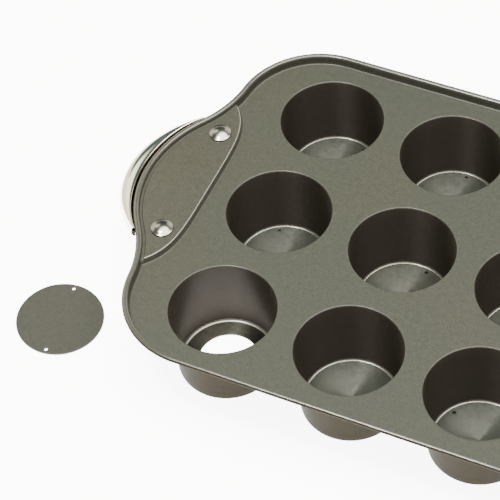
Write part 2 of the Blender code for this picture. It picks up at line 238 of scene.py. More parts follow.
# Painted highlight: a much lighter, glossier copy of the coat along the leaf panel's deck-side
# shoulder
SHOULDER_HIGHLIGHT_COAT = {"tone": (0.155, 0.152, 0.130), "roughness": 0.30, "gloss": 0.80, "speckle": 0.05,
             "tooth": 0.05}
BEAD_COAT = {"tone": (0.038, 0.039, 0.031), "roughness": 0.24, "gloss": 0.60, "speckle": 0.20,
             "tooth": 0.20}
LOOSE_COAT = {"tone": (0.0280, 0.0308, 0.0242), "roughness": 0.38, "gloss": 0.25, "speckle": 0.20}
# Painted shade: the cups' inside walls get a darker, browner copy of the coat than the deck
WALL_SHADE_COAT = {"tone": (0.0140, 0.0122, 0.0085), "roughness": 0.50, "gloss": 0.31,
             "anisotropy": 0.90, "metallic": 0.0, "turning": TURNING_MAP}
LEDGE_COAT = {"tone": (0.038, 0.037, 0.030), "roughness": 0.34, "gloss": 0.5,
              "anisotropy": 0.85, "metallic": 0.9, "turning": TURNING_MAP}
# Painted highlight: a much lighter, more metallic copy of the coat on the fillet where each cup's
# wall meets its ledge
FOOT_HIGHLIGHT_COAT = {"tone": (0.20, 0.197, 0.172), "roughness": 0.34, "gloss": 0.6,
             "anisotropy": 0.60, "metallic": 0.8, "turning": TURNING_MAP}
DISC_COAT = {"tone": (0.0465, 0.0495, 0.0410), "roughness": 0.34, "gloss": 0.5,
             "anisotropy": 0.85, "metallic": 0.5}

# Steel
HANDLE_STEEL = {"roughness": 0.08, "tone": (0.70, 0.67, 0.56)}
RIVET_STEEL = {"roughness": 0.20, "tone": (0.24, 0.228, 0.195)}
STEEL_DULLING = 0.92
STEEL_ROUGHNESS_SWING = 0.03
STEEL_WAVE = 0.05
STEEL_WAVE_DEPTH = 0.1 * MM

# Studio: a wide soft light overhead, a dark and a cream patch behind the left grip, a room whose
# brightness goes by the sine of the height, dim in front and pale behind, and a small key light
ROOM_BRIGHTNESS = 15.0
OVERHEAD = (1.0, 0.965, 0.895)
OVERHEAD_AXIS = (0.22, 0.06, 0.97)
OVERHEAD_EDGE = (0.82, 0.95)
SHADE = (0.010, 0.0135, 0.014)
SHADE_AXIS = (-0.46, 0.75, 0.47)
SHADE_EDGE = (0.900, 0.925)
SIDE = (0.24, 0.235, 0.20)
SIDE_AXIS = (-0.66, 0.40, 0.64)
SIDE_EDGE = (0.966, 0.986)
WALL_AXIS = (-0.6, 0.8, 0.0)
WALL_EDGE = (0.15, 0.5)
ROOM_FRONT = [(0.0, (0.040, 0.040, 0.037)), (0.3, (0.030, 0.030, 0.028)),
              (0.5, (0.010, 0.010, 0.009)), (1.0, (0.012, 0.012, 0.011))]
ROOM_BACK = [(0.0, (0.16, 0.152, 0.132)), (0.42, (0.20, 0.19, 0.165)),
             (0.56, (0.16, 0.152, 0.132)), (0.64, (0.012, 0.016, 0.0165)),
             (1.0, (0.017, 0.019, 0.019))]
KEY_PLACE = (-0.31, -0.33, 1.20)
KEY_SIZE = 0.22
KEY_POWER = 26.0
KEY_TONE = (1.0, 0.97, 0.91)
FLOOR_RADIUS = 1.6
FLOOR_SIDES = 96
FLOOR_GAP = 0.05 * MM
FLOOR_TONE = (0.8, 0.8, 0.795, 1.0)
FLOOR_ROUGHNESS = 0.9
FLOOR_GLOSS = 0.1
FLOOR_GLOW = 8.0
FLOOR_GLOW_TONE = (1.0, 1.0, 0.995, 1.0)

# Camera, solved from the cups' mouths in the 500 x 500 photo
CAMERA_AIM = (-98.53 * MM, -26.24 * MM, -0.9 * MM)
CAMERA_DISTANCE = 1087.1 * MM
CAMERA_AZIMUTH = math.radians(29.48)
CAMERA_ELEVATION = math.radians(50.51)
CAMERA_ROLL = math.radians(-6.01)
CAMERA_LENS = 165.85
CAMERA_SENSOR = 36.0
CAMERA_NEAR = 0.05
CAMERA_FAR = 20.0


def middle(node):
    low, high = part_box(node)
    return (low + high) / 2


def arc_angles(start, end, steps):
    return [start + (end - start) * step / steps for step in range(steps + 1)]


def shoulder_centre():
    """Centre of the hollow arc that touches both the tab's round end and the corner."""
    away_x = CORNER_X - TAB_CENTRE
    away_y = CORNER_Y
    span = math.hypot(away_x, away_y)
    to_tab = TAB_RADIUS + SHOULDER_RADIUS
    to_corner = CORNER_RADIUS + SHOULDER_RADIUS
    along = (to_tab ** 2 - to_corner ** 2 + span ** 2) / (2 * span)
    across = math.sqrt(to_tab ** 2 - along ** 2)
    x = TAB_CENTRE + (away_x * along + away_y * across) / span
    return x, (away_y * along - away_x * across) / span


def tab_edge(y, inset):
    """How far out the rim reaches at a distance y from the tab's middle."""
    hollow_x, hollow_y = shoulder_centre()
    turn_y = hollow_y * (TAB_RADIUS - inset) / (TAB_RADIUS + SHOULDER_RADIUS)
    if abs(y) <= turn_y:
        return TAB_CENTRE + math.sqrt((TAB_RADIUS - inset) ** 2 - y * y)
    return hollow_x - math.sqrt((SHOULDER_RADIUS + inset) ** 2 - (hollow_y - abs(y)) ** 2)


def quarter_outline(inset):
    """From the tab's middle to the middle of the long side, evenly spaced points."""
    hollow_x, hollow_y = shoulder_centre()
    tab_turn = math.atan2(hollow_y, hollow_x - TAB_CENTRE)
    corner_turn = math.atan2(hollow_y - CORNER_Y, hollow_x - CORNER_X)
    points = []
    steps = max(2, round(TAB_RADIUS * tab_turn / OUTLINE_STEP))
    for a in arc_angles(0.0, tab_turn, steps):
        points.append((TAB_CENTRE + (TAB_RADIUS - inset) * math.cos(a),
                       (TAB_RADIUS - inset) * math.sin(a)))
    steps = max(2, round(SHOULDER_RADIUS * (tab_turn - corner_turn) / OUTLINE_STEP))
    hollow = SHOULDER_RADIUS + inset
    for a in arc_angles(tab_turn, corner_turn, steps)[1:]:
        points.append((hollow_x - hollow * math.cos(a), hollow_y - hollow * math.sin(a)))
    steps = round(CORNER_RADIUS * (math.pi / 2 - corner_turn) / OUTLINE_STEP)
    for a in arc_angles(corner_turn, math.pi / 2, steps)[1:]:
        points.append((CORNER_X + (CORNER_RADIUS - inset) * math.cos(a),
                       CORNER_Y + (CORNER_RADIUS - inset) * math.sin(a)))
    steps = round(CORNER_X / LONG_SIDE_STEP)
    for step in range(1, steps + 1):
        points.append((CORNER_X * (1 - step / steps), HALF_WIDTH - inset))
    return points


def rim_outline(inset):
    quarter = quarter_outline(inset)
    upper = quarter + [(-x, y) for x, y in reversed(quarter[:-1])]
    return upper + [(x, -y) for x, y in reversed(upper[1:-1])]


def bead_point(turn):
    """Inset and height on the rolled edge; no turn is its outermost line, a quarter its top."""
    return (BEAD_HALF_WIDTH * (1 - math.cos(turn)),
            RIM_HEIGHT - BEAD_HALF_HEIGHT * (1 - math.sin(turn)))


def wall_points(offset):
    """The rim's wall at a distance outside its inner face, from the bead down to the flat sheet."""
    start_d = 2 * BEAD_HALF_WIDTH - offset
    start_z = RIM_HEIGHT - BEAD_HALF_HEIGHT
    foot_z = -offset
    corner_d = start_d + (start_z - foot_z) * math.tan(WALL_LEAN)
    radius = FOOT_FILLET + offset
    reach = radius * math.tan((math.pi / 2 - WALL_LEAN) / 2)
    centre = (corner_d + reach, foot_z + radius)
    fillet_z = foot_z + radius * (1 - math.sin(WALL_LEAN))
    points = [(start_d, start_z)]
    for share in RIM_WALL_SHARES:
        z = start_z + (fillet_z - start_z) * share
        points.append((start_d + (start_z - z) * math.tan(WALL_LEAN), z))
    for a in arc_angles(WALL_LEAN, math.pi / 2, RIM_FOOT_STEPS):
        points.append((centre[0] - radius * math.cos(a), centre[1] - radius * math.sin(a)))
    return points


def top_section():
    """Inset and height of the rim's top surface, from the bead's outermost line inwards."""
    bead = [bead_point(a) for a in arc_angles(0.0, math.pi, BEAD_STEPS)]
    return bead[:-1] + wall_points(0.0)


def bottom_section():
    """The same for the underside: round under the bead, then down the wall's outer face."""
    wall = wall_points(SHEET)
    bead = []
    for a in arc_angles(0.0, math.pi, BEAD_UNDER_STEPS):
        d, z = bead_point(-a)
        if d >= wall[0][0]:
            break
        if not bead or d - bead[-1][0] > BEAD_UNDER_SPACING:
            bead.append((d, z))
    return bead + [p for p in wall if p[1] < bead[-1][1] - BEAD_WALL_GAP]


TOP = top_section()
BOTTOM = bottom_section()
FLAT_INSET = max(TOP[-1][0], BOTTOM[-1][0])


def section_height(section, inset):
    return np.interp(inset, [p[0] for p in section], [p[1] for p in section])


def leaf_inner_edge(offset, steps=LEAF_EDGE_POINTS):
    """The leaf panel's edge on the deck side at the +X end, moved towards the deck by an offset.

    Its points lie closer towards the tips, and it runs on a little past them.
    """
    tip = tab_edge(LEAF_HALF_LENGTH, LEAF_EDGE_INSET)
    middle_x = TAB_END - LEAF_WIDTH
    shares = np.sin(np.linspace(-math.pi / 2, math.pi / 2, steps) * LEAF_EDGE_SWEEP)
    y = LEAF_HALF_LENGTH * shares * LEAF_OVERRUN
    x = middle_x + (tip - middle_x) * np.abs(y / LEAF_HALF_LENGTH) ** LEAF_SQUARENESS
    along = np.stack([np.gradient(x), np.gradient(y)], axis=1)
    along /= np.linalg.norm(along, axis=1, keepdims=True)
    normal = np.stack([-along[:, 1], along[:, 0]], axis=1)
    return np.stack([x, y], axis=1) + normal * offset


def leaf_profile(fillet):
    """Signed distance from the leaf's edge, positive outside it, and height, from the round
    shoulder down the wall to the foot."""
    shoulder = [(fillet * math.sin(a), LEAF_HEIGHT - fillet * (1 - math.cos(a)))
                for a in arc_angles(0.0, LEAF_WALL_SLOPE, LEAF_STEPS)]
    foot = [(-LEAF_FOOT_FILLET * math.sin(a), LEAF_FOOT_FILLET * (1 - math.cos(a)))
            for a in arc_angles(LEAF_WALL_SLOPE, 0.0, LEAF_FOOT_STEPS)]
    run = (shoulder[-1][1] - foot[0][1]) / math.tan(LEAF_WALL_SLOPE)
    width = shoulder[-1][0] + run - foot[0][0]
    upper = [(s - width / 2, z) for s, z in shoulder]
    return upper + [(s + width / 2, z) for s, z in foot]


LEAF = leaf_profile(LEAF_FILLET)
LEAF_REACH = LEAF[-1][0]
LEAF_BY_RIM = leaf_profile(LEAF_RIM_FILLET)


def leaf_height(signed, inset):
    """Height of the leaf panel, which falls to the deck on one side and to a groove by the rim."""
    deck_side = np.interp(signed, *zip(*LEAF))
    rim_side = np.interp(LEAF_RIM_INSET - inset, *zip(*LEAF_BY_RIM))
    return np.minimum(deck_side, np.maximum(rim_side, GROOVE_HEIGHT))


def distance_to_line(points, line, closed):
    """Distance of every point to a polyline, and the index of the nearest segment."""
    start = line
    end = np.roll(line, -1, axis=0)
    if not closed:
        start, end = line[:-1], line[1:]
    span = end - start
    length = (span ** 2).sum(axis=1)
    best = np.zeros(len(points))
    which = np.zeros(len(points), int)
    for first in range(0, len(points), POINTS_AT_ONCE):
        part = slice(first, first + POINTS_AT_ONCE)
        p = points[part]
        rel = p[:, None, :] - start[None]
        t = np.clip((rel * span[None]).sum(axis=2) / length[None], 0, 1)
        gap = np.linalg.norm(rel - t[..., None] * span[None], axis=2)
        which[part] = gap.argmin(axis=1)
        best[part] = gap.min(axis=1)
    return best, which


def leaf_distance(points):
    """Signed distance to the nearest leaf's deck-side edge; far from both leaves it is large."""
    folded = np.stack([np.abs(points[:, 0]), points[:, 1]], axis=1)
    edge = leaf_inner_edge(0.0, LEAF_MEASURING_POINTS)
    gap, which = distance_to_line(folded, edge, False)
    span = edge[np.minimum(which + 1, len(edge) - 1)] - edge[which]
    rel = folded - edge[which]
    side = span[:, 0] * rel[:, 1] - span[:, 1] * rel[:, 0]
    signed = np.where(side > 0, gap, -gap)
    beyond = np.abs(folded[:, 1]) > np.abs(edge[:, 1]).max()
    return np.where(beyond, FAR_FROM_LEAF, signed)


def smooth_max(a, b, blend):
    return (a + b + np.sqrt((a - b) ** 2 + blend ** 2)) / 2


def sheet_heights(points, outline):
    """Heights of the sheet's top and underside over the plan, and the distances they go by."""
    inset, _ = distance_to_line(points, outline, True)
    top = section_height(TOP, inset)
    bottom = section_height(BOTTOM, inset)
    signed = leaf_distance(points)
    leaf_top = leaf_height(signed, inset)
    thinning = LEAF_WALL_THINNING * SHEET
    leaf_bottom = leaf_height(signed + thinning, inset - thinning) - SHEET
    blend = GROOVE_BLEND * np.clip(leaf_top / LEAF_HEIGHT, 0, 1)
    top = np.where(leaf_top > 0, smooth_max(top, leaf_top, blend), top)
    bottom = np.where(leaf_top > 0, np.maximum(bottom, leaf_bottom), bottom)
    over_handle = np.maximum(bottom, HANDLE_TOP + HANDLE_CLEARANCE)
    bottom = np.where(signed < -LEAF_REACH, over_handle, bottom)
    return top, bottom, inset, signed


def ring(centre, radius, sides):
    return [(centre[0] + radius * math.cos(2 * math.pi * k / sides),
             centre[1] + radius * math.sin(2 * math.pi * k / sides)) for k in range(sides)]


def plan_mesh(closed_lines, open_lines, holes):
    """Triangulates a plan that holds every line, without the holes given as (centre, radius)."""
    verts = []
    edges = []
    for line in closed_lines:
        first = len(verts)
        verts += line
        edges += [(first + k, first + (k + 1) % len(line)) for k in range(len(line))]
    for line in open_lines:
        first = len(verts)
        verts += [tuple(p) for p in line]
        edges += [(first + k, first + k + 1) for k in range(len(line) - 1)]
    flat = [Vector((x * PLAN_SCALE, y * PLAN_SCALE)) for x, y in verts]
    out, _, faces, *_ = delaunay_2d_cdt(flat, edges, [], 1, PLAN_TOLERANCE)
    points = np.array([(p.x / PLAN_SCALE, p.y / PLAN_SCALE) for p in out])
    faces = np.array([f for f in faces if len(f) == 3])
    centres = points[faces].mean(axis=1)
    keep = np.ones(len(faces), bool)
    for (x, y), radius in holes:
        keep &= np.hypot(centres[:, 0] - x, centres[:, 1] - y) > radius
    return points, faces[keep]


def ring_indices(points, centre, radius):
    """Indices of the points on a circle, by angle."""
    rel = points - np.array(centre)
    on = np.where(np.abs(np.hypot(rel[:, 0], rel[:, 1]) - radius) < ON_RING)[0]
    return list(on[np.argsort(np.arctan2(rel[on, 1], rel[on, 0]))])


def add_mesh(name, verts, faces, materials, smooth_angle=None):
    mesh = bpy.data.meshes.new(name)
    mesh.from_pydata([tuple(v) for v in verts], [], faces)
    mesh.validate()
    for finish in materials:
        mesh.materials.append(finish)
    mesh.shade_smooth()
    if smooth_angle is not None:
        mesh.set_sharp_from_angle(angle=smooth_angle)
    item = bpy.data.objects.new(name, mesh)
    bpy.context.scene.collection.objects.link(item)
    return item


def face_outwards(item):
    """Turns every face of a closed mesh outwards."""
    shape = bmesh.new()
    shape.from_mesh(item.data)
    bmesh.ops.recalc_face_normals(shape, faces=shape.faces)
    shape.to_mesh(item.data)
    shape.free()


def between(start, end, shares):
    """Points on a straight run, at shares of its length."""
    return [(start[0] + (end[0] - start[0]) * share, start[1] + (end[1] - start[1]) * share)
            for share in shares]


def cup_section():
    """Radius and height down inside a cup, over the ledge, under it and up outside."""
    wall_slope = math.atan2(MOUTH_RADIUS - BASE_RADIUS, -LEDGE_TOP)
    points = []
    swing = math.pi / 2 - wall_slope
    centre_r = MOUTH_RADIUS + MOUTH_FILLET
    for a in arc_angles(0.0, swing, MOUTH_STEPS)[1:]:
        points.append((centre_r - MOUTH_FILLET * math.sin(a), -MOUTH_FILLET * (1 - math.cos(a))))
    inner_centre = (BASE_RADIUS - BASE_FILLET, LEDGE_TOP + BASE_FILLET)
    wall_foot = (inner_centre[0] + BASE_FILLET * math.cos(wall_slope),
                 inner_centre[1] - BASE_FILLET * math.sin(wall_slope))
    points += between(points[-1], wall_foot, WALL_SHARES)
    for a in arc_angles(wall_slope, math.pi / 2, FOOT_STEPS):
        points.append((inner_centre[0] + BASE_FILLET * math.cos(a),
                       inner_centre[1] - BASE_FILLET * math.sin(a)))
    points.append((inner_centre[0] - FOOT_STRIP, LEDGE_TOP))
    points.append((LEDGE_HOLE_RADIUS + HOLE_LIP + HOLE_STRIP, LEDGE_TOP))
    for a in arc_angles(0.0, math.pi / 2, HOLE_LIP_STEPS):
        points.append((LEDGE_HOLE_RADIUS + HOLE_LIP * (1 - math.sin(a)),
                       LEDGE_TOP - HOLE_LIP * (1 - math.cos(a))))
    for a in arc_angles(math.pi / 2, 0.0, HOLE_LIP_STEPS):
        points.append((LEDGE_HOLE_RADIUS + HOLE_LIP * (1 - math.sin(a)),
                       CUP_UNDERSIDE + HOLE_LIP * (1 - math.cos(a))))
    points.append((LEDGE_HOLE_RADIUS + HOLE_LIP + HOLE_STRIP, CUP_UNDERSIDE))
    points.append((inner_centre[0] - FOOT_STRIP, CUP_UNDERSIDE))
    outer = BASE_FILLET + SHEET
    for a in arc_angles(math.pi / 2, wall_slope, OUTER_FOOT_STEPS):
        points.append((inner_centre[0] + outer * math.cos(a),
                       inner_centre[1] - outer * math.sin(a)))
    # The mouth's fillet is 0.05 mm less than the sheet, so by that much the outside turns back
    radius = MOUTH_FILLET - SHEET
    mouth = (centre_r - radius * math.sin(swing), -MOUTH_FILLET + radius * math.cos(swing))
    points += between(points[-1], mouth, OUTER_WALL_SHARES)
    for a in arc_angles(swing, 0.0, OUTER_MOUTH_STEPS)[:-1]:
        points.append((centre_r - radius * math.sin(a), -MOUTH_FILLET + radius * math.cos(a)))
    return points


def add_turning(mesh, centres):
    """A UV map whose first direction runs round each cup's middle, for the turned metal's sheen."""
    layer = mesh.uv_layers.new(name=TURNING_MAP)
    centres = np.array(centres)
    corners = np.array([mesh.vertices[loop.vertex_index].co[:2] for loop in mesh.loops])
    turning = np.zeros((len(corners), 2))
    for polygon in mesh.polygons:
        first, last = polygon.loop_start, polygon.loop_start + polygon.loop_total
        cup = centres[np.linalg.norm(centres - np.array(polygon.center[:2]), axis=1).argmin()]
        rel = corners[first:last] - cup
        angle = np.arctan2(rel[:, 1], rel[:, 0])
        angle = np.where(angle < angle.max() - math.pi, angle + 2 * math.pi, angle)
        turning[first:last, 0] = angle / (2 * math.pi)
        turning[first:last, 1] = np.hypot(rel[:, 0], rel[:, 1]) / MOUTH_RADIUS
    layer.data.foreach_set("uv", turning.ravel())


def cup_slot(level, turn_over):
    """Which coat a ring of faces has, counted from the mouth down the inside and up the outside."""
    if level < MOUTH_STEPS // 2:
        return FACE
    # inside walls: the darker painted-shade copy of the coat
    if level <= MOUTH_STEPS + len(WALL_SHARES):
        return SHADED_WALL
    # the fillet at the wall's foot gets the painted highlight coat
    if level <= MOUTH_STEPS + len(WALL_SHARES) + FOOT_STEPS:
        return FOOT_HIGHLIGHT
    return LEDGE if level <= turn_over else OUTSIDE


def make_shell(materials):
    """The whole coated sheet as one closed mesh, with the seven coats in the slots named above."""
    outline = np.array(rim_outline(0.0))
    insets = sorted({round(p[0], PLAN_DIGITS) for p in TOP + BOTTOM})
    kept = [insets[0]]
    for d in insets[1:]:
        if d - kept[-1] > RIM_LINE_SPACING:
            kept.append(d)
    kept += [FLAT_INSET + SHEET_STRIP]
    kept += [LEAF_RIM_INSET - s for s, _ in LEAF_BY_RIM
             if LEAF_RIM_INSET - s > kept[-1] + LEAF_LINE_SPACING]
    kept.sort()
    rim_lines = [rim_outline(d) for d in kept]
    mouth = MOUTH_RADIUS + MOUTH_FILLET
    centres = {cup: tuple(middle(f"cup_{cup}"))[:2] for cup in CUPS}
    cup_lines = [ring(c, mouth + extra, CUP_SIDES)
                 for c in centres.values() for extra in (0.0, SHEET_STRIP)]
    leaf_lines = []
    for offset in [p[0] for p in LEAF] + [-LEAF_REACH - SHEET_STRIP, LEAF_REACH + SHEET_STRIP]:
        line = leaf_inner_edge(offset)
        inset, _ = distance_to_line(line, outline, True)
        on_sheet = (np.abs(line[:, 1]) < HALF_WIDTH) & (line[:, 0] < TAB_END)
        run = line[on_sheet & (inset > 2 * BEAD_HALF_WIDTH)]
        leaf_lines += [run, run * np.array([-1.0, 1.0])]
    holes = [(c, mouth) for c in centres.values()]
    points, faces = plan_mesh(rim_lines + cup_lines, leaf_lines, holes)
    top, bottom, inset, signed = sheet_heights(points, outline)
    edge = inset < SAME_PLACE
    count = len(points)
    verts = [(x, y, z) for (x, y), z in zip(points, top)]
    below = np.arange(count)
    for k in np.where(~edge)[0]:
        below[k] = len(verts)
        verts.append((points[k][0], points[k][1], bottom[k]))
    all_faces = [tuple(int(i) for i in f) for f in faces]
    depth = inset[faces].mean(axis=1)
    across = signed[faces].mean(axis=1)
    slots = np.full(len(faces), FACE)
    slots[depth < 2 * BEAD_HALF_WIDTH] = BEAD
    slots[depth < BEAD_SIDE] = OUTSIDE
    # The leaf's rounded shoulder on the deck side gets the painted highlight coat
    shoulder = (across > LEAF[1][0]) & (across < LEAF[LEAF_STEPS - 1][0])
    slots[shoulder & (depth > LEAF_RIM_INSET)] = SHOULDER_HIGHLIGHT
    slots = slots.tolist()
    under = [(int(below[f[0]]), int(below[f[2]]), int(below[f[1]])) for f in faces]
    all_faces += under
    # the underside gets the darker, browner coat of painted shade and warm bounce
    slots += [OUTSIDE] * len(under)
    section = cup_section()
    turn_over = section.index(min(section, key=lambda p: (p[0], p[1])))
    for centre in centres.values():
        upper = ring_indices(points, centre, mouth)
        angles = [math.atan2(points[i][1] - centre[1], points[i][0] - centre[0]) for i in upper]
        rows = [upper]
        for radius, height in section:
            first = len(verts)
            verts += [(centre[0] + radius * math.cos(a), centre[1] + radius * math.sin(a), height)
                      for a in angles]
            rows.append(list(range(first, first + len(angles))))
        rows.append([int(below[i]) for i in upper])
        for level, (a, b) in enumerate(zip(rows, rows[1:])):
            for k in range(len(a)):
                n = (k + 1) % len(a)
                all_faces.append((int(a[k]), int(b[k]), int(b[n]), int(a[n])))
                slots.append(cup_slot(level, turn_over))
    shell = add_mesh("pan_shell", verts, all_faces, materials)
    shell.data.polygons.foreach_set("material_index", slots)
    add_turning(shell.data, list(centres.values()))
    face_outwards(shell)
    return shell


def turned_mesh(name, profile, sides, materials, centre, smooth_angle):
    """A closed turned body from (radius, height) points that start and end on the axis."""
    verts = [(centre[0], centre[1], profile[0][1])]
    rows = []
    for radius, height in profile[1:-1]:
        first = len(verts)
        verts += [(x, y, height) for x, y in ring(centre, radius, sides)]
        rows.append(first)
    last = len(verts)
    verts.append((centre[0], centre[1], profile[-1][1]))
    faces = []
    for k in range(sides):
        n = (k + 1) % sides
        faces.append((0, rows[0] + k, rows[0] + n))
        faces.append((last, rows[-1] + n, rows[-1] + k))
        for a, b in zip(rows, rows[1:]):
            faces.append((a + k, b + k, b + n, a + n))
    item = add_mesh(name, verts, faces, materials, smooth_angle)
    face_outwards(item)
    return item


def make_disc(cup, materials):
    """A loose bottom: a thin flat disc with softened edges and two small vents."""
    low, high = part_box(f"disc_{cup}")
    centre = (low + high) / 2
    radius = (high.x - low.x + high.y - low.y) / 4 / DISC_SOLID_SHRINK
    rings = [radius - share * DISC_EDGE for share in DISC_EDGE_SHARES]
    reach = radius - VENT_INSET
    turn = math.radians(VENT_ANGLES[cup])
    vents = [(reach * math.cos(turn + a), reach * math.sin(turn + a)) for a in (0.0, math.pi)]
    lines = [ring((0.0, 0.0), r, DISC_SIDES) for r in rings]
    lines += [ring(v, r, VENT_SIDES)
              for v in vents for r in (VENT_RADIUS, VENT_RADIUS + VENT_STRIP)]
    points, faces = plan_mesh(lines, [], [(v, VENT_RADIUS) for v in vents])
    from_middle = np.hypot(points[:, 0], points[:, 1])
    into_edge = np.clip((from_middle - (radius - DISC_EDGE)) / DISC_EDGE, 0, 1)
    drop = DISC_EDGE * (1 - np.sqrt(1 - into_edge ** 2))
    count = len(points)
    verts = [(centre.x + x, centre.y + y, high.z - d) for (x, y), d in zip(points, drop)]
    verts += [(centre.x + x, centre.y + y, low.z + d) for (x, y), d in zip(points, drop)]
    all_faces = [tuple(int(i) for i in f) for f in faces]
    all_faces += [(f[0] + count, f[2] + count, f[1] + count) for f in all_faces]
    loops = [ring_indices(points, (0.0, 0.0), radius)]
    loops += [ring_indices(points, v, VENT_RADIUS) for v in vents]
    for loop in loops:
        for k in range(len(loop)):
            n = (k + 1) % len(loop)
            a, b = int(loop[k]), int(loop[n])
            all_faces.append((a, a + count, b + count, b))
    item = add_mesh(f"bottom_{cup}_fine", verts, all_faces, materials, DISC_SMOOTH_ANGLE)
    face_outwards(item)
    return item


def handle_plan():
    """Inner edge of the handle's plate from lug to lug, at +X from its arc's centre."""
    rivet = middle("rivet_right_far")
    lug = (rivet.x - HANDLE_CENTRE, rivet.y)
    lug_angle = math.atan2(lug[1], lug[0])
    inner = math.hypot(*lug) - LUG_RADIUS
    upper = [(lug[0] + LUG_RADIUS * math.cos(a), lug[1] + LUG_RADIUS * math.sin(a))
             for a in arc_angles(math.pi / 2, lug_angle + math.pi, LUG_STEPS)]
    middle_arc = [(inner * math.cos(a), inner * math.sin(a))
                  for a in arc_angles(lug_angle, -lug_angle, HANDLE_INNER_STEPS)[1:-1]]
    return upper + middle_arc + [(x, -y) for x, y in reversed(upper)]


def resample(points, count):
    """The same line with its points evenly spaced."""
    points = np.array(points)
    along = np.concatenate([[0], np.cumsum(np.linalg.norm(np.diff(points, axis=0), axis=1))])
    wanted = np.linspace(0, along[-1], count)
    return np.stack([np.interp(wanted, along, points[:, k]) for k in (0, 1)], axis=1)


def rim_reach(angle):
    """Distance from the centre of the handle's arc to the rim's outer edge in a direction."""
    edge = np.array(quarter_outline(0.0)) - np.array([HANDLE_CENTRE, 0.0])
    edge = edge[edge[:, 0] > 0]
    turn = np.arctan2(edge[:, 1], edge[:, 0])
    return float(np.interp(abs(angle), turn, np.hypot(edge[:, 0], edge[:, 1])))


def handle_section(angle):
    """Radius and height round the handle's sheet where it leaves the rim: a short rise to a crest,
    a quarter ellipse down to the lip, and back along the underside."""
    start = rim_reach(angle) + HANDLE_RIM_GAP
    room = HANDLE_RADIUS - start
    rise_length = min(CREST_RISE_LENGTH, CREST_RISE_SHARE * room)
    crest_start = start + rise_length
    crest = HANDLE_TOP + HANDLE_CREST
    drop = crest - HANDLE_LOW.z - HANDLE_SKIRT
    top = [(start + rise_length * share, HANDLE_TOP + HANDLE_CREST * math.sin(math.pi / 2 * share))
           for share in np.linspace(0.0, 1.0, CREST_STEPS)]
    for a in arc_angles(0.0, math.pi / 2, CURL_STEPS)[1:]:
        top.append((crest_start + (HANDLE_RADIUS - crest_start) * math.sin(a),
                    crest - drop * (1 - math.cos(a))))
    top.append((HANDLE_RADIUS, HANDLE_LOW.z + HANDLE_SHEET / 2))
    top = np.array(top)
    tangent = np.gradient(top, axis=0)
    tangent /= np.linalg.norm(tangent, axis=1, keepdims=True)
    normal = np.stack([-tangent[:, 1], tangent[:, 0]], axis=1)
    normal[0] = (0.0, 1.0)
    half = HANDLE_SHEET / 2
    centreline = top - normal * half
    section = [tuple(p) for p in top]
    for a in arc_angles(math.pi / 2, -math.pi / 2, LIP_STEPS)[1:-1]:
        away = normal[-1] * math.sin(a) + tangent[-1] * math.cos(a)
        section.append(tuple(centreline[-1] + half * away))
    return section + [tuple(p) for p in (centreline - normal * half)[::-1]]


def make_handle(end, materials):
    """A curled strip of sheet with rounded edges, cut square at both ends."""
    shares = np.linspace(1, -1, HANDLE_COLUMNS)
    widest = math.asin(HANDLE_HALF_WIDTH / HANDLE_RADIUS)
    sections = [handle_section(share * widest) for share in shares]
    inner = resample(handle_plan(), HANDLE_COLUMNS)
    verts = []
    rows = []

    def add_row(points):
        first = len(verts)
        verts.extend(points)
        rows.append(range(first, first + HANDLE_COLUMNS))

    def arc_row(level):
        row = []
        for share, section in zip(shares, sections):
            radius, height = section[level]
            square_cut = math.asin(min(1.0, HANDLE_HALF_WIDTH / radius)) - widest
            angle = share * (widest + square_cut * abs(share) ** SQUARE_CUT_FADE)
            row.append((radius * math.cos(angle), radius * math.sin(angle), height))
        return row

    def flat_rows(edge, height, steps):
        edge = np.array([p[:2] for p in edge])
        for share in steps:
            add_row([(x, y, height) for x, y in inner + (edge - inner) * share])

    flat_rows(arc_row(0), HANDLE_TOP, HANDLE_PLATE_SHARES)
    for level in range(len(sections[0])):
        add_row(arc_row(level))
    flat_rows(arc_row(-1), HANDLE_TOP - HANDLE_SHEET, HANDLE_PLATE_SHARES[::-1])
    faces = []
    count = len(rows)
    for level in range(count):
        a, b = rows[level], rows[(level + 1) % count]
        for k in range(HANDLE_COLUMNS - 1):
            faces.append((a[k], b[k], b[k + 1], a[k + 1]))
    for column in (0, HANDLE_COLUMNS - 1):
        for level in range(count // 2 - 1):
            faces.append((rows[level][column], rows[level + 1][column],
                          rows[count - 2 - level][column], rows[count - 1 - level][column]))
    turn = Matrix.Rotation(math.pi if end == "left" else 0.0, 4, "Z")
    verts = [tuple(turn @ Vector((x + HANDLE_CENTRE, y, z))) for x, y, z in verts]
    item = add_mesh(f"handle_{end}_fine", verts, faces, materials, STEEL_SMOOTH_ANGLE)
    face_outwards(item)
    edge = item.modifiers.new("edge", "BEVEL")
    edge.width = HANDLE_EDGE_ROUND
    edge.segments = HANDLE_EDGE_SEGMENTS
    edge.limit_method = "ANGLE"
    edge.angle_limit = HANDLE_EDGE_ANGLE
    edge.harden_normals = True
    return item


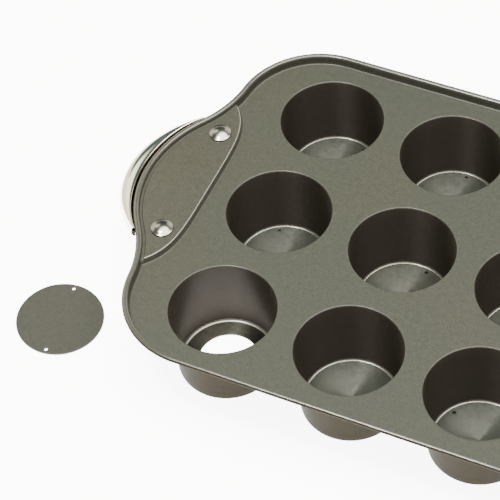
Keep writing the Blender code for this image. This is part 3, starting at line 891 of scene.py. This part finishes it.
def make_rivet(node, materials):
    """Button-headed rivet: low dome with a rounded edge, shank and clinched tail."""
    low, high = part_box(node)
    centre = (low + high) / 2
    radius = (high.y - low.y) / 2
    seat = LEAF_HEIGHT
    dome = high.z - seat
    profile = [(0.0, high.z)]
    cap = RIVET_DOME_RISE * dome
    sphere = ((RIVET_DOME_WIDTH * radius) ** 2 + cap ** 2) / (2 * cap)
    for k in range(1, RIVET_DOME_STEPS + 1):
        r = RIVET_DOME_WIDTH * radius * k / RIVET_DOME_STEPS
        profile.append((r, high.z - sphere + math.sqrt(sphere ** 2 - r * r)))
    edge_rise = (profile[-1][1] - seat) / math.sin(RIVET_EDGE_TURN)
    for a in arc_angles(RIVET_EDGE_TURN, 0.0, RIVET_EDGE_STEPS)[1:]:
        width = RIVET_DOME_WIDTH + (1 - RIVET_DOME_WIDTH) * math.cos(a)
        profile.append((radius * width, seat + edge_rise * math.sin(a)))
    profile.append((radius * RIVET_SEAT_WIDTH, seat - RIVET_SEAT_DEPTH))
    profile.append((RIVET_SHANK_RADIUS, seat - RIVET_SEAT_DEPTH))
    tail_top = HANDLE_TOP - HANDLE_SHEET
    profile.append((RIVET_SHANK_RADIUS, tail_top - RIVET_TAIL_GAP))
    profile.append((RIVET_TAIL_RADIUS * RIVET_TAIL_TOP_WIDTH, tail_top - RIVET_TAIL_GAP))
    profile.append((RIVET_TAIL_RADIUS, tail_top - RIVET_TAIL_BEVEL))
    depth = tail_top - low.z
    for a in arc_angles(0.0, RIVET_TAIL_TURN, RIVET_TAIL_STEPS):
        width = RIVET_TAIL_FLAT + (1 - RIVET_TAIL_FLAT) * math.cos(a)
        fall = RIVET_TAIL_WALL + (1 - RIVET_TAIL_WALL) * math.sin(a)
        profile.append((RIVET_TAIL_RADIUS * width, tail_top - depth * fall))
    profile.append((0.0, profile[-1][1]))
    return turned_mesh(f"{node}_fine", profile, RIVET_SIDES, materials, centre, STEEL_SMOOTH_ANGLE)


def new_material(name):
    finish = bpy.data.materials.new(name)
    finish.use_nodes = True
    nodes = finish.node_tree.nodes
    return finish, nodes, finish.node_tree.links, nodes["Principled BSDF"]


def noise(nodes, links, coordinates, scale, detail):
    node = nodes.new("ShaderNodeTexNoise")
    node.inputs["Scale"].default_value = scale
    node.inputs["Detail"].default_value = detail
    node.inputs["Roughness"].default_value = NOISE_ROUGHNESS
    links.new(coordinates, node.inputs["Vector"])
    return node.outputs["Fac"]


def ramp(nodes, links, value, stops):
    """Colours by a value, from (place, colour) stops."""
    node = nodes.new("ShaderNodeValToRGB")
    node.color_ramp.elements.remove(node.color_ramp.elements[1])
    for k, (place, colour) in enumerate(stops):
        element = node.color_ramp.elements[0] if k == 0 else node.color_ramp.elements.new(place)
        element.position = place
        element.color = (*colour, 1.0)
    links.new(value, node.inputs["Fac"])
    return node.outputs["Color"]


def multiply(nodes, links, first, second):
    mix = nodes.new("ShaderNodeMix")
    mix.data_type = "RGBA"
    mix.blend_type = "MULTIPLY"
    mix.inputs["Factor"].default_value = 1.0
    links.new(first, mix.inputs["A"])
    links.new(second, mix.inputs["B"])
    return mix.outputs["Result"]


def shades(nodes, links, noise_value, darker, lighter):
    """Two tones, mixed by a noise."""
    return ramp(nodes, links, noise_value, [(NOISE_LOW, darker), (NOISE_HIGH, lighter)])


def map_range(nodes, links, value, low, high):
    """A number that follows a noise from low to high."""
    node = nodes.new("ShaderNodeMapRange")
    node.inputs["From Min"].default_value = NOISE_LOW
    node.inputs["From Max"].default_value = NOISE_HIGH
    node.inputs["To Min"].default_value = low
    node.inputs["To Max"].default_value = high
    links.new(value, node.inputs["Value"])
    return node.outputs["Result"]


def bump(nodes, links, height, strength, distance):
    node = nodes.new("ShaderNodeBump")
    node.inputs["Strength"].default_value = strength
    node.inputs["Distance"].default_value = distance
    links.new(height, node.inputs["Height"])
    return node.outputs["Normal"]


def browned_ends(nodes, links, place):
    """The coat is a little browner towards both grips."""
    split = nodes.new("ShaderNodeSeparateXYZ")
    links.new(place, split.inputs["Vector"])
    away = nodes.new("ShaderNodeMath")
    away.operation = "ABSOLUTE"
    links.new(split.outputs["X"], away.inputs[0])
    share = smooth_step(nodes, links, away.outputs["Value"], *BROWN_FROM_TO)
    return ramp(nodes, links, share, [(0.0, MIDDLE_TINGE), (1.0, BROWN)])


def coating(name, tone, roughness, gloss, speckle, tooth=COAT_TOOTH):
    """Non-stick coat: a dark satin grey with a fine sprayed grain and faint large-scale drift."""
    finish, nodes, links, shader = new_material(name)
    place = nodes.new("ShaderNodeTexCoord").outputs["Object"]
    grain = noise(nodes, links, place, GRAIN_SCALE, GRAIN_DETAIL)
    mottle = noise(nodes, links, place, MOTTLE_SCALE, CLOUD_DETAIL)
    drift = noise(nodes, links, place, DRIFT_SCALE, CLOUD_DETAIL)
    darker = tuple(c * (1 - speckle) for c in tone)
    lighter = tuple(c * (1 + speckle) for c in tone)
    fine = shades(nodes, links, grain, darker, lighter)
    coarse = shades(nodes, links, mottle, *MOTTLE_TONES)
    tint = shades(nodes, links, drift, *DRIFT_TONES)
    colour = multiply(nodes, links, multiply(nodes, links, fine, coarse), tint)
    colour = multiply(nodes, links, colour, browned_ends(nodes, links, place))
    links.new(colour, shader.inputs["Base Color"])
    rough = map_range(nodes, links, mottle, roughness - COAT_ROUGHNESS_SWING,
                      roughness + COAT_ROUGHNESS_SWING)
    links.new(rough, shader.inputs["Roughness"])
    shader.inputs["Specular IOR Level"].default_value = gloss
    links.new(bump(nodes, links, grain, tooth, COAT_TOOTH_DEPTH), shader.inputs["Normal"])
    return finish


def turned_coating(name, tone, roughness, gloss, anisotropy, metallic, turning=None):
    """The same coat over turned metal: its sheen fans out from the middle of the turning, which is
    that of a UV map or, without one, the object's own."""
    finish = coating(name, tone, roughness, gloss, TURNED_SPECKLE, TURNED_TOOTH)
    nodes = finish.node_tree.nodes
    shader = nodes["Principled BSDF"]
    tangent = nodes.new("ShaderNodeTangent")
    if turning is None:
        tangent.direction_type = "RADIAL"
        tangent.axis = "Z"
    else:
        tangent.direction_type = "UV_MAP"
        tangent.uv_map = turning
    finish.node_tree.links.new(tangent.outputs["Tangent"], shader.inputs["Tangent"])
    shader.inputs["Anisotropic"].default_value = anisotropy
    shader.inputs["Anisotropic Rotation"].default_value = TURNED_ROTATION
    shader.inputs["Metallic"].default_value = metallic
    return finish


def polished_steel(name, roughness, tone):
    """Bright polished steel with very faint polishing drift."""
    finish, nodes, links, shader = new_material(name)
    place = nodes.new("ShaderNodeTexCoord").outputs["Object"]
    haze = noise(nodes, links, place, HAZE_SCALE, CLOUD_DETAIL)
    duller = tuple(c * STEEL_DULLING for c in tone)
    links.new(shades(nodes, links, haze, duller, tone), shader.inputs["Base Color"])
    rough = map_range(nodes, links, haze, roughness - STEEL_ROUGHNESS_SWING,
                      roughness + STEEL_ROUGHNESS_SWING)
    links.new(rough, shader.inputs["Roughness"])
    shader.inputs["Metallic"].default_value = 1.0
    links.new(bump(nodes, links, haze, STEEL_WAVE, STEEL_WAVE_DEPTH), shader.inputs["Normal"])
    return finish


def make_floor():
    """A pale round floor that glows like a lit studio sweep."""
    mesh = bpy.data.meshes.new("floor")
    edge = [(x, y, 0.0) for x, y in ring((0.0, 0.0), FLOOR_RADIUS, FLOOR_SIDES)]
    mesh.from_pydata(edge, [], [tuple(range(FLOOR_SIDES))])
    floor = bpy.data.objects.new("floor", mesh)
    bpy.context.scene.collection.objects.link(floor)
    floor.location.z = FLOOR_HEIGHT - FLOOR_GAP
    finish, _, _, shader = new_material("floor_white")
    shader.inputs["Base Color"].default_value = FLOOR_TONE
    shader.inputs["Roughness"].default_value = FLOOR_ROUGHNESS
    shader.inputs["Specular IOR Level"].default_value = FLOOR_GLOSS
    shader.inputs["Emission Color"].default_value = FLOOR_GLOW_TONE
    shader.inputs["Emission Strength"].default_value = FLOOR_GLOW
    mesh.materials.append(finish)


def smooth_step(nodes, links, value, low, high):
    node = nodes.new("ShaderNodeMapRange")
    node.interpolation_type = "SMOOTHSTEP"
    node.inputs["From Min"].default_value = low
    node.inputs["From Max"].default_value = high
    links.new(value, node.inputs["Value"])
    return node.outputs["Result"]


def blend(nodes, links, share, first, second):
    """Mixes two colours; the second is a socket or a plain colour."""
    mix = nodes.new("ShaderNodeMix")
    mix.data_type = "RGBA"
    links.new(share, mix.inputs["Factor"])
    links.new(first, mix.inputs["A"])
    if isinstance(second, tuple):
        mix.inputs["B"].default_value = (*second, 1.0)
    else:
        links.new(second, mix.inputs["B"])
    return mix.outputs["Result"]


def along(nodes, links, direction, axis):
    """How far a direction points along an axis."""
    node = nodes.new("ShaderNodeVectorMath")
    node.operation = "DOT_PRODUCT"
    node.inputs[1].default_value = Vector(axis).normalized()
    links.new(direction, node.inputs[0])
    return node.outputs["Value"]


def patch(nodes, links, direction, room, colour, axis, edge):
    """The room with a soft-edged round patch of a colour in it."""
    share = smooth_step(nodes, links, along(nodes, links, direction, axis), *edge)
    return blend(nodes, links, share, room, colour)


def make_world():
    """A soft studio: a wide light overhead, a pale wall behind, a dim room on the viewer's side,
    and a dark and a cream patch for the polished handle to mirror."""
    world = bpy.data.worlds.new("studio")
    bpy.context.scene.world = world
    world.use_nodes = True
    nodes = world.node_tree.nodes
    links = world.node_tree.links
    direction = nodes.new("ShaderNodeTexCoord").outputs["Generated"]
    split = nodes.new("ShaderNodeSeparateXYZ")
    links.new(direction, split.inputs["Vector"])
    front = ramp(nodes, links, split.outputs["Z"], ROOM_FRONT)
    back = ramp(nodes, links, split.outputs["Z"], ROOM_BACK)
    behind = smooth_step(nodes, links, along(nodes, links, direction, WALL_AXIS), *WALL_EDGE)
    room = blend(nodes, links, behind, front, back)
    room = patch(nodes, links, direction, room, SHADE, SHADE_AXIS, SHADE_EDGE)
    room = patch(nodes, links, direction, room, SIDE, SIDE_AXIS, SIDE_EDGE)
    room = patch(nodes, links, direction, room, OVERHEAD, OVERHEAD_AXIS, OVERHEAD_EDGE)
    nodes["Background"].inputs["Strength"].default_value = ROOM_BRIGHTNESS
    links.new(room, nodes["Background"].inputs["Color"])


def make_key_light():
    """A small soft box above the front left, for the sheen on the turned bottoms and the rivets."""
    data = bpy.data.lights.new("key", "AREA")
    data.shape = "SQUARE"
    data.size = KEY_SIZE
    data.energy = KEY_POWER
    data.color = KEY_TONE
    key = bpy.data.objects.new("key", data)
    bpy.context.scene.collection.objects.link(key)
    key.location = KEY_PLACE
    key.rotation_euler = Vector(KEY_PLACE).to_track_quat("Z", "Y").to_euler()


def make_camera():
    """The photograph's own viewing angle."""
    data = bpy.data.cameras.new("camera")
    data.lens = CAMERA_LENS
    data.sensor_width = CAMERA_SENSOR
    data.clip_start = CAMERA_NEAR
    data.clip_end = CAMERA_FAR
    camera = bpy.data.objects.new("camera", data)
    bpy.context.scene.collection.objects.link(camera)
    a, e = CAMERA_AZIMUTH, CAMERA_ELEVATION
    back = Vector((math.sin(a) * math.cos(e), -math.cos(a) * math.cos(e), math.sin(e)))
    level = back.to_track_quat("Z", "Y").to_matrix()
    roll = Matrix.Rotation(CAMERA_ROLL, 3, "Z")
    place = Matrix.Translation(Vector(CAMERA_AIM) + back * CAMERA_DISTANCE)
    camera.matrix_world = place @ (level @ roll).to_4x4()
    bpy.context.scene.camera = camera


def build():
    make_camera()
    face = coating("coating_face", **FACE_COAT)
    # painted shade and warm bounce on the undersides and outer faces
    outside_shaded = coating("coating_outside_painted_shade", **OUTSIDE_SHADE_COAT)
    # painted shade inside the cups
    wall = turned_coating("coating_wall_painted_shade", **WALL_SHADE_COAT)
    ledge = turned_coating("coating_ledge", **LEDGE_COAT)
    # painted highlight on the cups' base fillets
    foot = turned_coating("coating_foot_highlight", **FOOT_HIGHLIGHT_COAT)
    # painted highlight along the leaf's shoulder
    shoulder_highlight = coating("coating_shoulder_highlight", **SHOULDER_HIGHLIGHT_COAT)
    bead = coating("coating_bead", **BEAD_COAT)
    disc_face = turned_coating("coating_bottom", **DISC_COAT)
    loose_face = coating("coating_loose_bottom", **LOOSE_COAT)
    steel = polished_steel("polished_steel", **HANDLE_STEEL)
    rivet_steel = polished_steel("rivet_steel", **RIVET_STEEL)
    for finish in (wall, outside_shaded):
        finish.node_tree.nodes["Principled BSDF"].inputs["Specular Tint"].default_value = WARM_SHEEN
    shell = make_shell([face, outside_shaded, wall, ledge, foot, bead, shoulder_highlight])
    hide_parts("deck", *[f"cup_{cup}" for cup in CUPS])
    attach(shell, "pan")
    for cup in CUPS:
        disc = make_disc(cup, [loose_face if cup == LOOSE_CUP else disc_face])
        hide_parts(f"disc_{cup}")
        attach(disc, f"bottom_{cup}")
    for end in ("left", "right"):
        handle = make_handle(end, [steel])
        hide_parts(f"handle_{end}")
        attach(handle, "pan")
    for node in sorted(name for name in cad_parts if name.startswith("rivet_")):
        rivet = make_rivet(node, [rivet_steel])
        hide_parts(node)
        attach(rivet, "pan")
    make_floor()
    make_world()
    make_key_light()


build()
